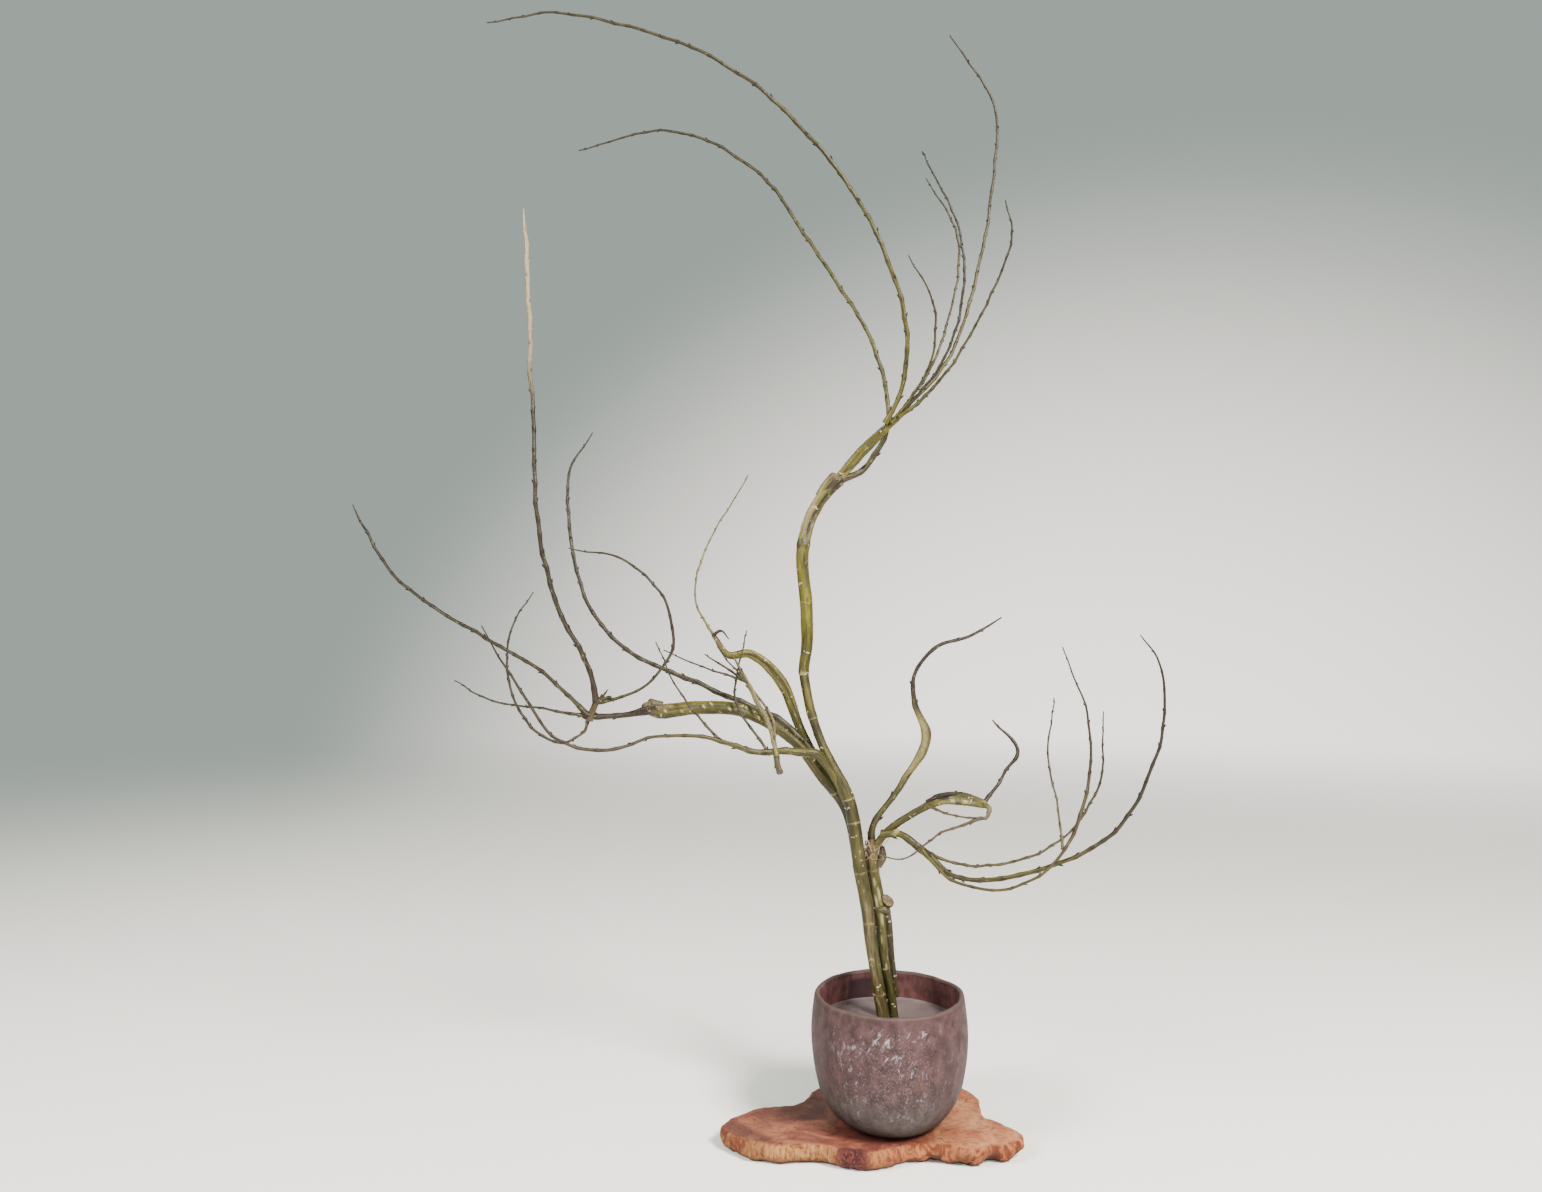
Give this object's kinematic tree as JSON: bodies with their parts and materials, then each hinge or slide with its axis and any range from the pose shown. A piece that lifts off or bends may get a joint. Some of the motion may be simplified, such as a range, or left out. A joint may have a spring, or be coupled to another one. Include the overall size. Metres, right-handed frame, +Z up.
{
  "type": "ikebana arrangement",
  "caption": "Tall spreading bare-branch arrangement: fantail willow cuttings with curled flat stems and long thin twigs, in a round stoneware vase of water on a live-edge burl board.",
  "frame": {"origin": "on the board's flat underside, below the middle of the vase", "axes": "+Z up, -Y towards the viewer of the arrangement, +X to that viewer's right"},
  "size_m": [1.0446, 0.2885, 1.5055],
  "materials": {
    "burl": "satin",
    "stoneware": "matte",
    "water": "gloss",
    "lead_and_brass": "satin",
    "bark": "satin"
  },
  "bodies": {
    "root": {"burl_board": "burl", "vase": "stoneware", "water": "water", "kenzan": "lead_and_brass", "main_branch": "bark", "left_branch": "bark", "right_branch": "bark"}
  },
  "joints": []
}
